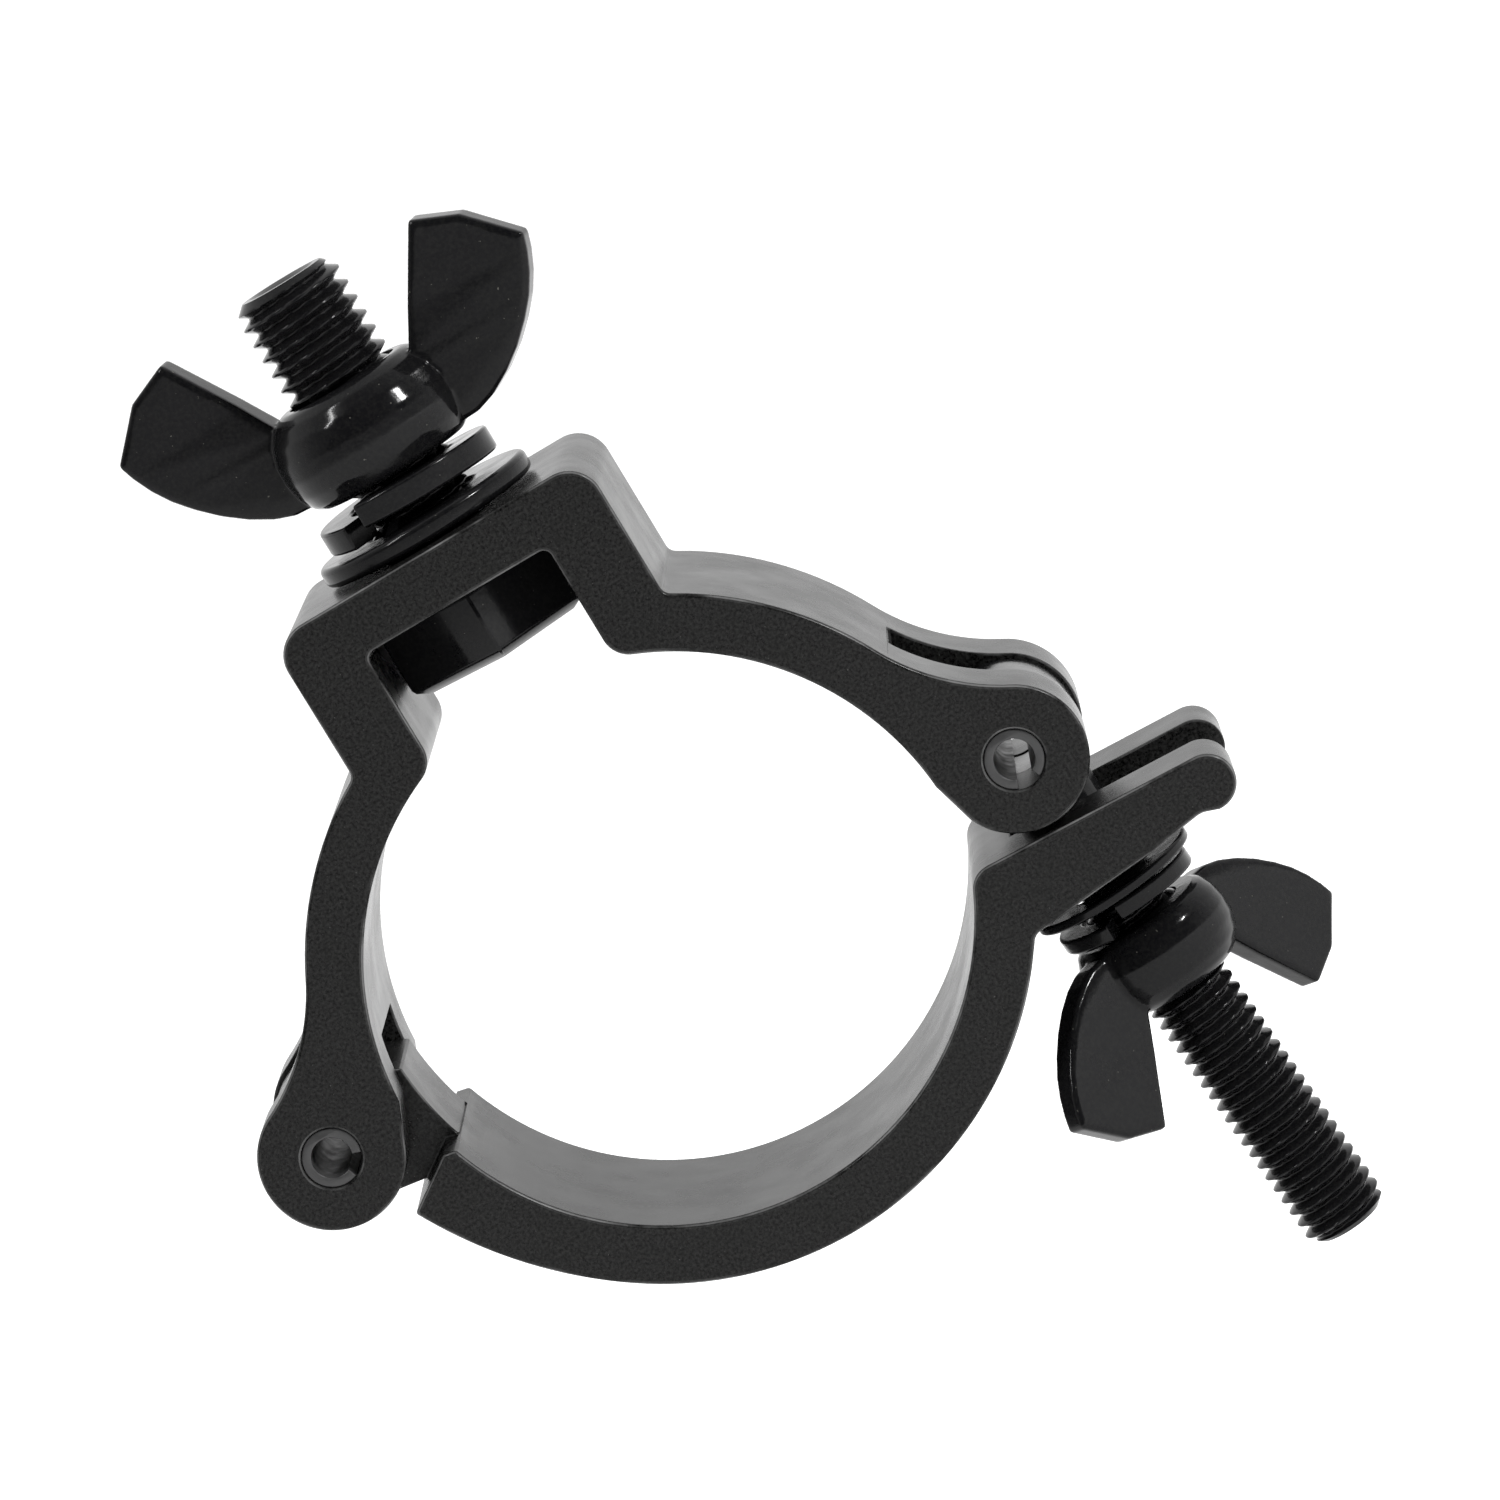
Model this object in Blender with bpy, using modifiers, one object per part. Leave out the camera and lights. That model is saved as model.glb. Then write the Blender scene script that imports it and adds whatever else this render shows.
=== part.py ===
"""Hinged pipe clamp for a 50 mm tube: two aluminium jaws, a swing bolt to shut them, and a mounting bolt.

The tube runs along Y through the origin, and the mounting bolt points up along +Z. Lengths here are in
millimetres until an object is made; the finished objects are in metres.
"""

import math

import bmesh
import bpy
from mathutils import Matrix, Vector

MM = 0.001
GAP = 0.3  # clearance between neighbouring solids

# Jaws: both are slices of an extrusion, so their shape is an outline in X and Z.
JAW_WIDTH = 25.0
BORE_RADIUS = 26.6
WALL = 5.0
RING_RADIUS = BORE_RADIUS + WALL
HINGE = (-34.1, 0.4)  # the lower jaw's pin
SWING = (33.45, 0.3)  # the swing bolt's pin
LOBE_RADIUS = 6.4  # rounded jaw end around each pin
LOBE_INSIDE = 205.0  # a lobe's outline leaves its circle here, on the side of the tube
BORE_FOOT = 3.5  # the bore's arc stops this far above the X axis
FLARE_RADIUS = 20.0  # hollow between the ring and a lobe
LOWER_CENTRE = (0.65, 3.75)  # centre of the lower jaw's arc: with no tube in, it shuts past the circle
LOWER_OUTER_RADIUS = 31.8

# Hat: the square seat on the upper jaw that holds the mounting bolt's head.
HAT_HALF_WIDTH = 15.35
HAT_TOP = 41.0
HAT_CORNER_RADIUS = 3.0
POCKET_HALF_WIDTH = 8.9
POCKET_TOP = 36.0
POCKET_LIP_RADIUS = 2.5

# Hinge tongue on the lower jaw, and the slots that hold the tongue and the swing bolt's eye.
TONGUE_WIDTH = 12.4
TONGUE_EYE_RADIUS = 6.0
EYE_WIDTH = 7.9
SLOT_EXTRA = 0.6
SLOT_END = ((23.5, 1.1), (31.2, 18.5))  # each slot's closed end is on this line, or its mirror image
STEP_ANGLE = 199.8  # where the lower jaw narrows to its tongue, around its own arc's centre
STEP_SLANT = 3.0  # the step's inner end is nearer the hinge by this angle
STEP_THICKENING = 1.3

# Arm of the lower jaw: a fork that the swing bolt drops into.
ARM_TOP_START = (27.6, -6.35)
ARM_TOP_END = (46.5, -7.35)
ARM_TIP_CENTRE = (46.4, -9.8)
ARM_TIP_RADIUS = 2.5
ARM_NECK = (44.7, -11.75)
ARM_SEAT = ((38.9, -12.6), (27.2, -13.65))
FORK_SLOT_WIDTH = 9.6
FORK_SLOT_END_X = 29.3

# Spring pins.
PIN_RADIUS = 2.6
PIN_WALL = 0.85
PIN_GAP_HALF_ANGLE = 24.0
PIN_CLEARANCE = 0.2

# Fasteners: thread radius and pitch, then sizes of the wing nut's body and wings against one pattern.
M10 = {"radius": 4.95, "pitch": 1.5, "body": 1.0, "reach": 1.02, "rise": 1.0}
M8 = {"radius": 3.95, "pitch": 1.25, "body": 0.83, "reach": 0.9, "rise": 0.87}
THREAD_DEPTH_SHARE = 0.61  # thread depth over pitch
BOLT_END_Z = 65.9
HEAD_ACROSS_FLATS = 17.0
HEAD_HEIGHT = 6.3
HEAD_TURN = 4.0  # the head sits askew in its pocket, which is a little wider
HAT_HOLE_RADIUS = 5.4
MOUNT_NUT_BASE_Z = 47.3
MOUNT_NUT_TURN = -10.0

SWING_LENGTH = 52.3
SWING_TILT = 3.85  # the swing bolt leans this far outwards from straight down
SWING_EYE_RADIUS = 6.0
SWING_WASHER_AT = 15.1
SWING_WASHER_THICKNESS = 0.9
SWING_NUT_AT = 19.2
SWING_NUT_TURN = -41.0
BOLT_FIT = 0.35  # radial gap around a bolt in a nut or washer

ARC_STEP = 6.0
ROUND_SEGMENTS = 32


# ---------------------------------------------------------------- outlines

def arc(centre, radius, start, end, step=ARC_STEP):
    """Points on an arc from start to end, in degrees; it runs clockwise if end is the smaller."""
    count = max(2, math.ceil(abs(end - start) / step))
    angles = [math.radians(start + (end - start) * i / count) for i in range(count + 1)]
    return [(centre[0] + radius * math.cos(a), centre[1] + radius * math.sin(a)) for a in angles]


def rounded(before, corner, after, radius, step=15.0):
    """The corner between two neighbours, rounded to a radius."""
    p, a, b = Vector(corner), Vector(before), Vector(after)
    u, v = (a - p).normalized(), (b - p).normalized()
    half = u.angle(v) / 2
    centre = p + (u + v).normalized() * (radius / math.sin(half))
    first = p + u * (radius / math.tan(half)) - centre
    last = p + v * (radius / math.tan(half)) - centre
    start = math.degrees(math.atan2(first.y, first.x))
    turn = math.degrees(math.atan2(last.y, last.x)) - start
    turn = (turn + 180.0) % 360.0 - 180.0
    return arc(centre, radius, start, start + turn, step)


def direction(origin, target):
    """Angle of the line from origin to target, in degrees."""
    return math.degrees(math.atan2(target[1] - origin[1], target[0] - origin[0]))


def flare_centre(lobe):
    """Centre of the hollow arc that touches the ring's outside and a lobe to the right of the tube."""
    to_ring, to_lobe = RING_RADIUS + FLARE_RADIUS, LOBE_RADIUS + FLARE_RADIUS
    away = math.hypot(*lobe)
    along = (to_ring**2 - to_lobe**2 + away**2) / (2 * away)
    up = math.sqrt(to_ring**2 - along**2)
    x, z = lobe[0] / away, lobe[1] / away
    return (along * x - up * z, along * z + up * x)


def half_upper_outline(lobe):
    """Right half of the upper jaw, from the hat's corner round to the pocket's ceiling."""
    bore = (0.0, 0.0)
    flare = flare_centre(lobe)
    shoulder = math.degrees(math.acos(HAT_HALF_WIDTH / RING_RADIUS))
    shoulder_z = RING_RADIUS * math.sin(math.radians(shoulder))
    lip_x, lip_reach = POCKET_HALF_WIDTH + POCKET_LIP_RADIUS, BORE_RADIUS + POCKET_LIP_RADIUS
    lip_angle = math.degrees(math.acos(lip_x / lip_reach))
    lip_centre = (lip_x, math.sqrt(lip_reach**2 - lip_x**2))
    points = rounded((0.0, HAT_TOP), (HAT_HALF_WIDTH, HAT_TOP), (HAT_HALF_WIDTH, 0.0), HAT_CORNER_RADIUS)
    points += [(HAT_HALF_WIDTH, shoulder_z + 1.0)]
    points += arc(bore, RING_RADIUS, shoulder - 1.5, direction(bore, flare))
    points += arc(flare, FLARE_RADIUS, direction(flare, bore) + 360.0, direction(flare, lobe) + 360.0)[1:]
    points += arc(lobe, LOBE_RADIUS, direction(lobe, flare), LOBE_INSIDE - 360.0)[1:]
    points += arc(bore, BORE_RADIUS, BORE_FOOT, lip_angle)
    points += arc(lip_centre, POCKET_LIP_RADIUS, lip_angle + 180.0, 180.0, 15.0)[1:]
    points += [(POCKET_HALF_WIDTH, POCKET_TOP)]
    return points


def upper_outline():
    left = half_upper_outline((-HINGE[0], HINGE[1]))
    return half_upper_outline(SWING) + [(-x, z) for x, z in reversed(left)]


def slot_outline(side):
    """What a slot takes away: everything outside its end line, on one side of the jaw."""
    (x0, z0), (x1, z1) = SLOT_END
    return [(side * x, z) for x, z in ((x0, z0), (x1, z1), (45.0, z1), (45.0, -12.0), (x0, -12.0))]


def lower_outline():
    """Full-width part of the lower jaw: the arc and the fork's arm, without the hinge tongue."""
    inner_start = direction(LOWER_CENTRE, (24.3, -8.9))
    inner_corner = (25.35, ARM_TOP_START[1])
    inner_from = arc(LOWER_CENTRE, BORE_RADIUS, inner_start, inner_start)[0]
    outer_end = direction(LOWER_CENTRE, (25.9, -16.2))
    inner_end = STEP_ANGLE - STEP_SLANT
    points = arc(LOWER_CENTRE, BORE_RADIUS, inner_end + 1.2, inner_start + 360.0)
    points += rounded(inner_from, inner_corner, ARM_TOP_END, 2.2)
    points += arc(ARM_TIP_CENTRE, ARM_TIP_RADIUS, 88.0, -95.0, 18.0)
    points += [ARM_NECK, ARM_SEAT[0]]
    points += rounded(ARM_SEAT[0], ARM_SEAT[1], (25.3, -17.2), 1.2)
    for i in range(23):
        angle = outer_end + 360.0 + (STEP_ANGLE - outer_end - 360.0) * i / 22
        thicker = STEP_THICKENING * max(0.0, (STEP_ANGLE + 35.0 - angle) / 35.0) ** 2
        points += arc(LOWER_CENTRE, LOWER_OUTER_RADIUS + thicker, angle, angle)[:1]
    corner = arc(LOWER_CENTRE, BORE_RADIUS + 1.0, inner_end, inner_end)[0]
    return points + [corner]


def tongue_outline():
    """Hinge tongue: an eye round the pin, with a web that runs into the full-width part."""
    overlap = STEP_ANGLE + 4.0
    points = arc(LOWER_CENTRE, BORE_RADIUS, 181.5, overlap)
    points += arc(LOWER_CENTRE, LOWER_OUTER_RADIUS - 0.4, overlap, STEP_ANGLE - 1.0)
    points += arc(HINGE, TONGUE_EYE_RADIUS, -98.0, -98.0 - 218.0, 12.0)
    return points


def spring_pin_outline(centre, gap_angle):
    """C-shaped section of a slotted spring pin, with its slot facing gap_angle."""
    start, end = gap_angle + PIN_GAP_HALF_ANGLE, gap_angle + 360.0 - PIN_GAP_HALF_ANGLE
    outside = arc(centre, PIN_RADIUS, start, end, 12.0)
    inside = arc(centre, PIN_RADIUS - PIN_WALL, end, start, 12.0)
    return outside + inside


# ---------------------------------------------------------------- scene helpers

def clear_scene():
    for obj in list(bpy.data.objects):
        bpy.data.objects.remove(obj, do_unlink=True)


def collection(name):
    made = bpy.data.collections.new(name)
    bpy.context.scene.collection.children.link(made)
    return made


def material(name, colour, roughness, metallic):
    made = bpy.data.materials.new(name)
    made.use_nodes = True
    shader = made.node_tree.nodes["Principled BSDF"]
    shader.inputs["Base Color"].default_value = (*colour, 1.0)
    shader.inputs["Roughness"].default_value = roughness
    shader.inputs["Metallic"].default_value = metallic
    return made


def mesh_object(name, bm, home, finish=None):
    """An object from a bmesh whose coordinates are in millimetres."""
    bmesh.ops.scale(bm, vec=(MM, MM, MM), verts=bm.verts)
    bmesh.ops.recalc_face_normals(bm, faces=bm.faces)
    mesh = bpy.data.meshes.new(name)
    bm.to_mesh(mesh)
    bm.free()
    made = bpy.data.objects.new(name, mesh)
    if finish:
        mesh.materials.append(finish)
    home.objects.link(made)
    return made


def extruded(name, outline, width, home, finish=None):
    """A solid of an X-Z outline, width millimetres long in Y and centred on Y = 0."""
    curve = bpy.data.curves.new(name, "CURVE")
    curve.dimensions = "2D"
    curve.fill_mode = "BOTH"
    curve.extrude = width / 2 * MM
    spline = curve.splines.new("POLY")
    spline.points.add(len(outline) - 1)
    for point, (x, z) in zip(spline.points, outline):
        point.co = (x * MM, z * MM, 0.0, 1.0)
    spline.use_cyclic_u = True
    drawn = bpy.data.objects.new(name + "_outline", curve)
    drawn.rotation_euler.x = math.pi / 2
    home.objects.link(drawn)
    bpy.context.view_layer.update()
    mesh = bpy.data.meshes.new_from_object(drawn.evaluated_get(bpy.context.evaluated_depsgraph_get()))
    mesh.transform(drawn.matrix_world)
    bpy.data.objects.remove(drawn)
    bm = bmesh.new()
    bm.from_mesh(mesh)
    bmesh.ops.remove_doubles(bm, verts=bm.verts, dist=1e-6)
    bmesh.ops.recalc_face_normals(bm, faces=bm.faces)
    bm.to_mesh(mesh)
    bm.free()
    mesh.materials.clear()
    made = bpy.data.objects.new(name, mesh)
    if finish:
        mesh.materials.append(finish)
    home.objects.link(made)
    return made


def turned(name, profile, home, finish=None, segments=ROUND_SEGMENTS):
    """A solid turned about Z from (radius, height) points down its outside; a ring's profile is closed."""
    bm = bmesh.new()
    ring = all(radius > 0 for radius, _ in profile)
    verts = [bm.verts.new((radius, 0.0, height)) for radius, height in profile]
    for a, b in zip(verts, verts[1:] + (verts[:1] if ring else [])):
        bm.edges.new((a, b))
    made = mesh_object(name, bm, home, finish)
    screw = made.modifiers.new("turn", "SCREW")
    screw.axis = "Z"
    screw.steps = screw.render_steps = segments
    screw.use_merge_vertices = True
    screw.merge_threshold = 1e-6
    screw.use_smooth_shade = True
    return made


def cylinder(name, radius, length, centre, home, axis="Y", segments=ROUND_SEGMENTS):
    bm = bmesh.new()
    bmesh.ops.create_cone(bm, cap_ends=True, segments=segments, radius1=radius, radius2=radius, depth=length)
    turn = Matrix.Rotation(math.pi / 2, 3, "X") if axis == "Y" else Matrix.Identity(3)
    bmesh.ops.rotate(bm, matrix=turn, verts=bm.verts)
    bmesh.ops.translate(bm, vec=centre, verts=bm.verts)
    return mesh_object(name, bm, home)


def block(name, low, high, home):
    """A box between two corners."""
    bm = bmesh.new()
    bmesh.ops.create_cube(bm, size=1.0)
    bmesh.ops.scale(bm, vec=[b - a for a, b in zip(low, high)], verts=bm.verts)
    bmesh.ops.translate(bm, vec=[(a + b) / 2 for a, b in zip(low, high)], verts=bm.verts)
    return mesh_object(name, bm, home)


def boolean(target, tool, operation):
    change = target.modifiers.new(tool.name, "BOOLEAN")
    change.operation = operation
    change.solver = "EXACT"
    change.object = tool
    tool.hide_render = True
    tool.display_type = "WIRE"


def pivot(name, location, tilt, home):
    """An empty on a joint's axis; the pieces that turn with it are parented to it."""
    made = bpy.data.objects.new(name, None)
    made.location = [c * MM for c in location]
    made.rotation_euler.y = math.radians(tilt)
    home.objects.link(made)
    return made


def origin_at(obj, x, z):
    """Moves an object's origin to a joint's axis and leaves its shape where it is."""
    shift = Vector((x * MM, 0.0, z * MM))
    obj.data.transform(Matrix.Translation(-shift))
    obj.location = shift


# ---------------------------------------------------------------- jaws

def make_upper_jaw(parts, cutters, paint):
    jaw = extruded("upper_jaw", upper_outline(), JAW_WIDTH, parts, paint)
    hole_length = JAW_WIDTH + 4.0
    for name, side, (x, z), width in (("tongue", -1, HINGE, TONGUE_WIDTH), ("eye", 1, SWING, EYE_WIDTH)):
        slot = extruded(f"{name}_slot", slot_outline(side), width + SLOT_EXTRA, cutters)
        centre = (x, 0.0, z)
        hole = cylinder(f"{name}_pin_hole", PIN_RADIUS + PIN_CLEARANCE, hole_length, centre, cutters)
        boolean(jaw, slot, "DIFFERENCE")
        boolean(jaw, hole, "DIFFERENCE")
    middle = (0.0, 0.0, (HAT_TOP + POCKET_TOP) / 2)
    bolt_hole = cylinder("bolt_hole", HAT_HOLE_RADIUS, HAT_TOP - POCKET_TOP + 4.0, middle, cutters, "Z")
    boolean(jaw, bolt_hole, "DIFFERENCE")


def make_lower_jaw(parts, cutters, paint):
    jaw = extruded("lower_jaw", lower_outline(), JAW_WIDTH, parts, paint)
    tongue = extruded("tongue", tongue_outline(), TONGUE_WIDTH, cutters)
    pin_hole = cylinder("tongue_hole", PIN_RADIUS + GAP, JAW_WIDTH, (HINGE[0], 0.0, HINGE[1]), cutters)
    half = FORK_SLOT_WIDTH / 2
    slot = block("fork_slot", (FORK_SLOT_END_X, -half, -20.0), (60.0, half, 0.0), cutters)
    boolean(jaw, tongue, "UNION")
    boolean(jaw, pin_hole, "DIFFERENCE")
    boolean(jaw, slot, "DIFFERENCE")
    for piece in (jaw, tongue, pin_hole, slot):
        origin_at(piece, *HINGE)


def make_pins(parts, steel):
    for name, centre, gap_angle in (("hinge_pin", HINGE, -43.0), ("swing_pin", SWING, -88.0)):
        pin = extruded(name, spring_pin_outline(centre, gap_angle), JAW_WIDTH - 0.4, parts, steel)
        origin_at(pin, *centre)


# ---------------------------------------------------------------- fasteners

def thread_profile(size, top, bottom):
    """(radius, height) points of a thread drawn as ring grooves, from a chamfered top down to bottom."""
    crest, root = size["radius"], size["radius"] - THREAD_DEPTH_SHARE * size["pitch"]
    points = [(0.0, top), (root, top), (crest, top - 0.9)]
    turns = int((top - 0.9 - bottom) / size["pitch"])
    for i in range(turns):
        height = top - 0.9 - i * size["pitch"]
        points += [(root, height - size["pitch"] / 2), (crest, height - size["pitch"])]
    return points + [(crest, bottom)]


def make_mounting_bolt(parts, cutters, steel):
    head_top = POCKET_TOP - GAP
    shank = thread_profile(M10, BOLT_END_Z, HAT_TOP + 1.0)
    shank += [(M10["radius"], head_top - 1.0), (0.0, head_top - 1.0)]
    bolt = turned("mounting_bolt", shank, parts, steel)
    bm = bmesh.new()
    radius = HEAD_ACROSS_FLATS / math.sqrt(3)
    bmesh.ops.create_cone(bm, cap_ends=True, segments=6, radius1=radius, radius2=radius, depth=HEAD_HEIGHT)
    bmesh.ops.rotate(bm, matrix=Matrix.Rotation(math.radians(HEAD_TURN), 3, "Z"), verts=bm.verts)
    bmesh.ops.translate(bm, vec=(0.0, 0.0, head_top - HEAD_HEIGHT / 2), verts=bm.verts)
    head = mesh_object("hex_head", bm, cutters)
    boolean(bolt, head, "UNION")


def make_swing_bolt(axis, parts, cutters, steel):
    """Eye bolt; its own +Z runs down the shank to the threaded end, so it is turned over at its pivot."""
    shank = thread_profile(M8, SWING_LENGTH, SWING_EYE_RADIUS + 6.0)
    shank += [(M8["radius"], SWING_EYE_RADIUS - 2.0), (0.0, SWING_EYE_RADIUS - 2.0)]
    bolt = turned("swing_bolt", shank, parts, steel)
    eye = cylinder("eye", SWING_EYE_RADIUS, EYE_WIDTH, (0.0, 0.0, 0.0), cutters)
    hole = cylinder("eye_hole", PIN_RADIUS + GAP, EYE_WIDTH + 4.0, (0.0, 0.0, 0.0), cutters)
    boolean(bolt, eye, "UNION")
    boolean(bolt, hole, "DIFFERENCE")
    for piece in (bolt, eye, hole):
        piece.parent = axis


def flat_washer(name, inner, outer, thickness, height, home, finish):
    top = height + thickness
    return turned(name, [(outer, top), (outer, height), (inner, height), (inner, top)], home, finish)


def lock_washer(name, inner, outer, thickness, rise, height, home, finish, start=0.0):
    """Split spring washer: a square-cut bar wound into one open turn, from its high end down by its rise."""
    turn, steps = math.radians(346.0), 36
    bm = bmesh.new()
    corners = ((inner, 0.0), (outer, 0.0), (outer, thickness), (inner, thickness))
    face = bm.faces.new([bm.verts.new((r, 0.0, height + rise + z)) for r, z in corners])
    around_z = {"cent": (0.0, 0.0, 0.0), "axis": (0.0, 0.0, 1.0)}
    bmesh.ops.spin(bm, geom=[face], angle=turn, steps=steps, dvec=(0.0, 0.0, -rise / steps), **around_z)
    bmesh.ops.rotate(bm, matrix=Matrix.Rotation(math.radians(start), 3, "Z"), verts=bm.verts)
    return mesh_object(name, bm, home, finish)


def wing_outline(size):
    """One wing in (radius, height) from the nut's base."""
    shape = [(6.3, 7.6), (8.2, 10.9), (12.4, 17.6), (16.5, 15.9), (20.3, 11.8), (19.0, 9.0)]
    shape += [(16.8, 5.6), (14.0, 2.9), (11.0, 1.2), (8.0, 0.5), (6.3, 0.5)]
    return [(r * size["reach"], h * size["rise"]) for r, h in shape]


def wing_nut(name, size, parts, cutters, finish):
    """A wing nut that stands on Z = 0 with its bore on the Z axis and its wings along X."""
    scale, bore = size["body"], size["radius"] + BOLT_FIT
    body = [(bore, 8.6), (6.4, 8.7), (7.9, 7.0), (8.7, 4.6), (8.5, 2.4), (7.4, 0.0), (bore, 0.0)]
    body = [(bore if r == bore else r * scale, h * scale) for r, h in body]
    nut = turned(name, body, parts, finish)
    pieces = [nut]
    for side in (-1, 1):
        outline = [(side * r, h) for r, h in wing_outline(size)]
        wing = extruded(f"{name}_wing_{side}", outline, 3.2 * scale, cutters)
        boolean(nut, wing, "UNION")
        pieces.append(wing)
    return pieces


def stand(pieces, height, turn, parent=None):
    """Places a stack's pieces along their bolt's axis, turned about it."""
    for piece in pieces:
        piece.location.z = height * MM
        piece.rotation_euler.z = math.radians(turn)
        piece.parent = parent


def make_mounting_stack(parts, cutters, steel):
    flat_washer("mounting_flat_washer", M10["radius"] + BOLT_FIT, 10.2, 1.8, HAT_TOP + GAP, parts, steel)
    base = HAT_TOP + GAP + 1.8 + GAP
    inner = M10["radius"] + BOLT_FIT
    lock_washer("mounting_lock_washer", inner, 8.5, 2.2, 1.3, base, parts, steel, start=-118.0)
    stand(wing_nut("mounting_wing_nut", M10, parts, cutters, steel), MOUNT_NUT_BASE_Z, MOUNT_NUT_TURN)


def make_swing_stack(axis, parts, cutters, steel):
    inner = M8["radius"] + BOLT_FIT
    thickness = SWING_WASHER_THICKNESS
    flat = flat_washer("swing_flat_washer", inner, 7.7, thickness, SWING_WASHER_AT, parts, steel)
    base = SWING_WASHER_AT + thickness + 0.2
    lock = lock_washer("swing_lock_washer", inner, 6.75, 1.5, 1.2, base, parts, steel, start=-70.0)
    flat.parent = lock.parent = axis
    stand(wing_nut("swing_wing_nut", M8, parts, cutters, steel), SWING_NUT_AT, SWING_NUT_TURN, axis)


def main():
    clear_scene()
    parts, cutters = collection("pipe_clamp"), collection("cutters")
    satin = material("satin_black_paint", (0.02, 0.021, 0.021), 0.45, 0.0)
    gloss = material("gloss_black_coating", (0.012, 0.012, 0.013), 0.2, 0.3)
    bare = material("dark_spring_steel", (0.06, 0.06, 0.065), 0.35, 0.8)
    make_upper_jaw(parts, cutters, satin)
    make_lower_jaw(parts, cutters, satin)
    make_pins(parts, bare)
    make_mounting_bolt(parts, cutters, gloss)
    make_mounting_stack(parts, cutters, gloss)
    swing_axis = pivot("swing_axis", (SWING[0], 0.0, SWING[1]), 180.0 - SWING_TILT, parts)
    make_swing_bolt(swing_axis, parts, cutters, gloss)
    make_swing_stack(swing_axis, parts, cutters, gloss)
    bpy.context.view_layer.update()


main()
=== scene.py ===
"""Looks of the pipe clamp: fine versions of its twelve pieces, their finishes, and the studio.

Shapes are drawn in millimetres in the part's frame, and become metres when they turn into pieces: the
tube runs along Y through the origin and the mounting bolt points up along +Z.
"""

import math

import bmesh
import bpy
from mathutils import Matrix, Vector


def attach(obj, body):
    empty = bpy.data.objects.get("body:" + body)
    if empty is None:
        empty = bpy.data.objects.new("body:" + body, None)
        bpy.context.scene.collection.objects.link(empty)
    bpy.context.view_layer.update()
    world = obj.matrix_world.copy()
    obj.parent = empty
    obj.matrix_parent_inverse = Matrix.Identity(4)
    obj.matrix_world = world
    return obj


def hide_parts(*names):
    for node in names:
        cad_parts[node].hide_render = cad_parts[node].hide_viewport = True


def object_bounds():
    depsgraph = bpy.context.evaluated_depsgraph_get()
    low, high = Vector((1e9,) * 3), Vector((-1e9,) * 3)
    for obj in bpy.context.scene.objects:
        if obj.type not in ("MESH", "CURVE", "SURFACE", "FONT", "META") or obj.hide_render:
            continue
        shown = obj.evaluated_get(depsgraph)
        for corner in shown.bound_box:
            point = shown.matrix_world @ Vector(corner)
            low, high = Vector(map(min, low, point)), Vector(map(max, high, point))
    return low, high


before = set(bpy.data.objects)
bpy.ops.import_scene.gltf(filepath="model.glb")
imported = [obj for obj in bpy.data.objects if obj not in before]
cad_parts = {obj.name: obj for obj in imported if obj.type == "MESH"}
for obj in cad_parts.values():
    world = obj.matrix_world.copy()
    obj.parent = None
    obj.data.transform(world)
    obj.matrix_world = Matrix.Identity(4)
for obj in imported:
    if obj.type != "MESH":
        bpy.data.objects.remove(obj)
cad_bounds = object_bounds()

MM = 0.001

# Jaws.
JAW_WIDTH = 25.0
BORE_RADIUS = 26.6
RING_RADIUS = 31.6
HINGE = (-34.1, 0.4)
SWING = (33.45, 0.3)
LOBE_RADIUS = 6.4
LOBE_INSIDE = 205.0
BORE_FOOT = 3.5
FLARE_RADIUS = 20.0
LOWER_CENTRE = (0.65, 3.75)
LOWER_OUTER_RADIUS = 31.8
HAT_HALF_WIDTH = 15.35
HAT_TOP = 41.0
POCKET_HALF_WIDTH = 8.9
POCKET_TOP = 36.0
POCKET_LIP_RADIUS = 2.5
SLOT_END = ((23.5, 1.1), (31.2, 18.5))
TONGUE_SLOT_WIDTH = 13.0
EYE_SLOT_WIDTH = 8.5
TONGUE_WIDTH = 12.4
TONGUE_EYE_RADIUS = 6.0
STEP_ANGLE = 199.8
STEP_SLANT = 3.0
STEP_THICKENING = 1.3
ARM_TOP_START = (27.6, -6.35)
ARM_TOP_END = (46.5, -7.35)
ARM_TIP_CENTRE = (46.4, -9.8)
ARM_TIP_RADIUS = 2.5
ARM_NECK = (44.7, -11.75)
ARM_SEAT = ((38.9, -12.6), (27.2, -13.65))
FORK_SLOT_WIDTH = 9.6
FORK_SLOT_END_X = 29.3
EDGE_ROUND = 0.35
JAW_SWING = 50.0  # the lower jaw opens this far
PIN_RADIUS = 2.6
PIN_WALL = 0.85
PIN_GAP_HALF_ANGLE = 24.0

# Fasteners.
M10 = {"radius": 4.95, "pitch": 1.5, "body": 1.0, "reach": 1.02, "rise": 1.0}
M8 = {"radius": 3.95, "pitch": 1.25, "body": 0.83, "reach": 0.9, "rise": 0.87}
BOLT_END_Z = 65.9
M10_WASHER_BORE = 5.3
M8_WASHER_BORE = 4.3
WASHER_EDGE = 0.3
THREAD_DEPTH_SHARE = 0.62  # thread depth over pitch
HAT_HOLE_RADIUS = 5.4
HEAD_TOP = 35.7
HEAD_HEIGHT = 6.3
HEAD_ACROSS_FLATS = 17.0
HEAD_TURN = 4.0
MOUNT_NUT_BASE_Z = 47.3
MOUNT_NUT_TURN = -10.0
SWING_LENGTH = 52.3
SWING_TILT = 3.85
SWING_EYE_RADIUS = 6.0
SWING_EYE_WIDTH = 7.9
SWING_WASHER_AT = 15.1
SWING_NUT_AT = 19.2
SWING_NUT_TURN = -41.0

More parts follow.
